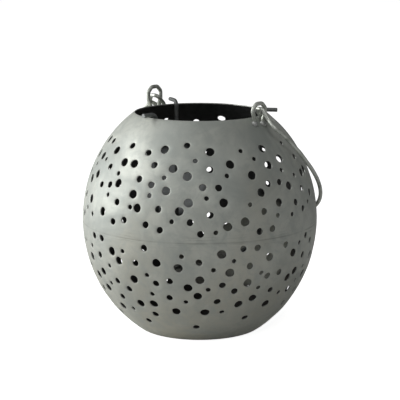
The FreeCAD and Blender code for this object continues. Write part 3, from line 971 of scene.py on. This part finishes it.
@dataclass
class PunchLips:
    """The thin lips that the punch pushed up on the inside of the sheet, one round each hole."""

    side: Side
    globe: Globe
    punches: list[Punch]
    material: bpy.types.Material
    lip_size: float = 0.12
    lip_reach: float = 1.09
    lip_drop: float = 0.5 * MM
    corners: int = 14
    lip_corners: int = 4
    raggedness: float = 0.10 * MM
    rag_scale: float = 900.0
    seed: int = 5

    def tree(self) -> bpy.types.NodeTree:
        """Builds the node tree that sets a ragged ring at every punch."""
        made = bpy.data.node_groups.new(self.side.value + "_lips", "GeometryNodeTree")
        made.interface.new_socket("Geometry", in_out="INPUT", socket_type="NodeSocketGeometry")
        for name in ("Lip Size", "Lip Reach", "Raggedness", "Seed"):
            made.interface.new_socket(name, in_out="INPUT", socket_type="NodeSocketFloat")
        made.interface.new_socket("Material", in_out="INPUT", socket_type="NodeSocketMaterial")
        made.interface.new_socket("Geometry", in_out="OUTPUT", socket_type="NodeSocketGeometry")
        nodes = Nodes(made)
        given = nodes.add("NodeGroupInput").outputs
        circle = "GeometryNodeCurvePrimitiveCircle"
        big = nodes.value(circle, None, {"Resolution": self.corners, "Radius": given["Lip Reach"]})
        small = nodes.value(circle, None, {"Resolution": self.lip_corners, "Radius": given["Lip Size"]})
        ring = nodes.value("GeometryNodeCurveToMesh", None, {"Curve": big, "Profile Curve": small})
        named = "GeometryNodeInputNamedAttribute"
        radius = nodes.value(named, {"data_type": "FLOAT"}, {"Name": "punch_radius"})
        facing = nodes.value(named, {"data_type": "FLOAT_VECTOR"}, {"Name": "punch_facing"})
        turn = nodes.value("FunctionNodeAlignRotationToVector", {"axis": "Z"}, {"Vector": facing})
        inputs = {"Points": given["Geometry"], "Instance": ring, "Rotation": turn, "Scale": radius}
        rings = nodes.value("GeometryNodeInstanceOnPoints", None, inputs)
        plain = nodes.value("GeometryNodeRealizeInstances", None, {"Geometry": rings})
        place = nodes.value("GeometryNodeInputPosition")
        inputs = {"Vector": place, "W": given["Seed"], "Scale": self.rag_scale, "Detail": 1.0}
        cloud = nodes.value("ShaderNodeTexNoise", {"noise_dimensions": "4D"}, inputs, "Color")
        inputs = {0: cloud, 1: (0.5, 0.5, 0.5)}
        centred = nodes.value("ShaderNodeVectorMath", {"operation": "SUBTRACT"}, inputs)
        inputs = {0: centred, "Scale": given["Raggedness"]}
        push = nodes.value("ShaderNodeVectorMath", {"operation": "SCALE"}, inputs)
        moved = nodes.value("GeometryNodeSetPosition", None, {"Geometry": plain, "Offset": push})
        smooth = nodes.value("GeometryNodeSetShadeSmooth", None, {0: moved})
        inputs = {"Geometry": smooth, "Material": given["Material"]}
        nodes.add("NodeGroupOutput", None, {0: nodes.value("GeometryNodeSetMaterial", None, inputs)})
        return made

    def build(self) -> bpy.types.Object:
        """Makes the lips as one plain mesh."""
        places, facings, radii = [], [], []
        for punch in self.punches:
            reach = float(self.globe.reach(punch.height))
            across, up = self.globe.outward(punch.height)
            cos, sin = math.cos(punch.bearing), math.sin(punch.bearing)
            out = Vector((across * cos, across * sin, up))
            sunk = self.globe.sheet + self.lip_drop
            places.append(Vector((reach * cos, reach * sin, punch.height)) - out * sunk)
            facings += list(out)
            radii.append(punch.radius)
        mesh = bpy.data.meshes.new("punch_points")
        mesh.from_pydata(places, [], [])
        mesh.attributes.new("punch_radius", "FLOAT", "POINT").data.foreach_set("value", radii)
        mesh.attributes.new("punch_facing", "FLOAT_VECTOR", "POINT").data.foreach_set("vector", facings)
        seeds = make_object("punch_points", mesh, [])
        tree = self.tree()
        modifier = seeds.modifiers.new("lips", "NODES")
        modifier.node_group = tree
        given = {
            "Lip Size": self.lip_size,
            "Lip Reach": self.lip_reach,
            "Raggedness": self.raggedness,
            "Seed": float(self.seed),
            "Material": self.material,
        }
        for item in tree.interface.items_tree:
            if item.in_out == "INPUT" and item.name in given:
                modifier[item.identifier] = given[item.name]
        name = self.side.value + "_lips"
        piece = make_object(name, plain_mesh(seeds, name), [])
        bpy.data.objects.remove(seeds)
        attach(piece, "lantern")
        log.info("%s: %d lips", piece.name, len(self.punches))
        return piece


def plain_mesh(made: bpy.types.Object, name: str) -> bpy.types.Mesh:
    """Gives an object's evaluated shape as a mesh of its own."""
    bpy.context.view_layer.update()
    graph = bpy.context.evaluated_depsgraph_get()
    mesh = bpy.data.meshes.new_from_object(made.evaluated_get(graph))
    mesh.name = name
    return mesh


@dataclass
class WireWork:
    """The wires, solder and cup, whose shapes are the frame's own."""

    wires: tuple[str, ...] = ("near_ear", "far_ear", "bail_handle")
    cradle: tuple[str, ...] = ("right_cradle_leg", "back_cradle_leg", "front_cradle_leg", "cradle_ring")
    beads: tuple[str, ...] = ("near_ear_solder", "far_ear_solder", "cradle_welds")
    cup: tuple[str, ...] = ("candle_cup",)

    def dress(self) -> None:
        """Gives each node its finish."""
        finishes = {self.wires: WIRE, self.cradle: BURNT_WIRE, self.beads: SOLDER, self.cup: CUP_TIN}
        for names, finish in finishes.items():
            material = finish.make()
            for name in names:
                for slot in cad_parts[name].material_slots:
                    slot.material = material
            log.info("%s on %s", material.name, ", ".join(names))


@dataclass(frozen=True)
class Lamp:
    """One square soft lamp, placed as the photograph sees it: to the right, away from the camera and up."""

    name: str
    right: float
    back: float
    up: float
    size: float
    power: float


@dataclass
class Studio:
    """A pale floor, a large soft lamp at the left, two small ones in front and a plain white surround."""

    lamps: tuple[Lamp, ...] = (
        Lamp("key", right=-1.42, back=0.10, up=0.62, size=1.5, power=30.5),
        Lamp("front", right=0.28, back=-1.08, up=1.03, size=0.26, power=2.2),
        Lamp("high", right=-0.47, back=-0.69, up=1.36, size=0.26, power=1.3),
    )
    room: float = 0.13
    shine: float = 0.10
    floor_glow: float = 0.91
    floor_tone: float = 0.64
    floor_roughness: float = 0.9
    floor_size: float = 6.0
    turn: float = math.radians(44)
    tilt: float = 0.211
    distance: float = 1.1555
    film_width: float = 36.0
    lens: float = 135.0
    shift: tuple[float, float] = (0.0005, 0.0435)

    def across(self, right: float, back: float, up: float) -> Vector:
        """A place given as the photograph sees it: to the right, away from the camera and up."""
        cos, sin = math.cos(self.turn), math.sin(self.turn)
        return Vector((right * cos - back * sin, right * sin + back * cos, up))

    def hang(self, lamp: Lamp, aim: Vector) -> None:
        """Hangs one lamp, facing a place."""
        light = bpy.data.lights.new(lamp.name, "AREA")
        light.size = lamp.size
        light.energy = lamp.power
        made = bpy.data.objects.new(lamp.name, light)
        made.location = self.across(lamp.right, lamp.back, lamp.up)
        made.rotation_euler = (aim - made.location).to_track_quat("-Z", "Y").to_euler()
        bpy.context.scene.collection.objects.link(made)

    def seen(self, nodes: Nodes) -> Value:
        """1 for what the camera sees, a little for what a reflection shows, and 0 for the light shed."""
        path = nodes.add("ShaderNodeLightPath").outputs
        direct = Value(nodes, path["Is Camera Ray"]).max(Value(nodes, path["Is Transmission Ray"]))
        return direct.max(Value(nodes, path["Is Glossy Ray"]) * self.shine)

    def surround(self) -> None:
        """Makes the world: white to the eye, dim in reflections and in the light it sheds."""
        world = bpy.data.worlds.new("studio")
        bpy.context.scene.world = world
        world.use_nodes = True
        nodes = Nodes(world.node_tree)
        strength = self.room + self.seen(nodes) * (1.0 - self.room)
        shade = world.node_tree.nodes["Background"]
        shade.inputs["Color"].default_value = (1.0, 1.0, 1.0, 1.0)
        nodes.tree.links.new(strength.socket, shade.inputs["Strength"])

    def floor(self) -> None:
        """Lays the pale floor, which keeps the lantern's shadow."""
        half = self.floor_size / 2
        mesh = bpy.data.meshes.new("floor")
        corners = [(-half, -half, 0), (half, -half, 0), (half, half, 0), (-half, half, 0)]
        mesh.from_pydata(corners, [], [(0, 1, 2, 3)])
        material, nodes, shader = fresh_material("pale_floor")
        shader.inputs["Roughness"].default_value = self.floor_roughness
        shader.inputs["Base Color"].default_value = (*[self.floor_tone] * 3, 1)
        shader.inputs["Emission Color"].default_value = (1, 1, 1, 1)
        glow = self.seen(nodes) * self.floor_glow
        nodes.tree.links.new(glow.socket, shader.inputs["Emission Strength"])
        make_object("floor", mesh, [material])

    def camera(self, middle: Vector) -> None:
        """Sets the camera where the photograph was taken from."""
        data = bpy.data.cameras.new("camera")
        data.sensor_width = self.film_width
        data.lens = self.lens
        data.shift_x, data.shift_y = self.shift
        made = bpy.data.objects.new("camera", data)
        back = self.across(0, -math.cos(self.tilt), math.sin(self.tilt))
        made.location = middle + back * self.distance
        made.rotation_euler = (-back).to_track_quat("-Z", "Y").to_euler()
        bpy.context.scene.collection.objects.link(made)
        bpy.context.scene.camera = made

    def build(self, globe: Globe) -> None:
        """Sets up the whole studio."""
        bpy.context.scene.view_settings.view_transform = "Standard"
        middle = Vector((0, 0, globe.centre))
        self.camera(middle)
        self.surround()
        self.floor()
        for lamp in self.lamps:
            self.hang(lamp, middle)


BOWL_SEEDS = {Side.UPPER: 11, Side.LOWER: 23}


def main() -> None:
    """Builds the studio and every piece of the lantern in order."""
    logging.basicConfig(level=logging.INFO, format="%(name)s: %(message)s")
    globe = Globe()
    Studio().build(globe)
    outer, inner, cut = OUTER_TIN.make(), INNER_TIN.make(), CUT_TIN.make()
    for side, seed in BOWL_SEEDS.items():
        bowl = Bowl(side, globe, seed, [outer, inner, cut])
        bowl.build()
        PunchLips(side, globe, bowl.punches, inner).build()
    WireWork().dress()
    log.info("sizes written")


if __name__ == "__main__":
    main()
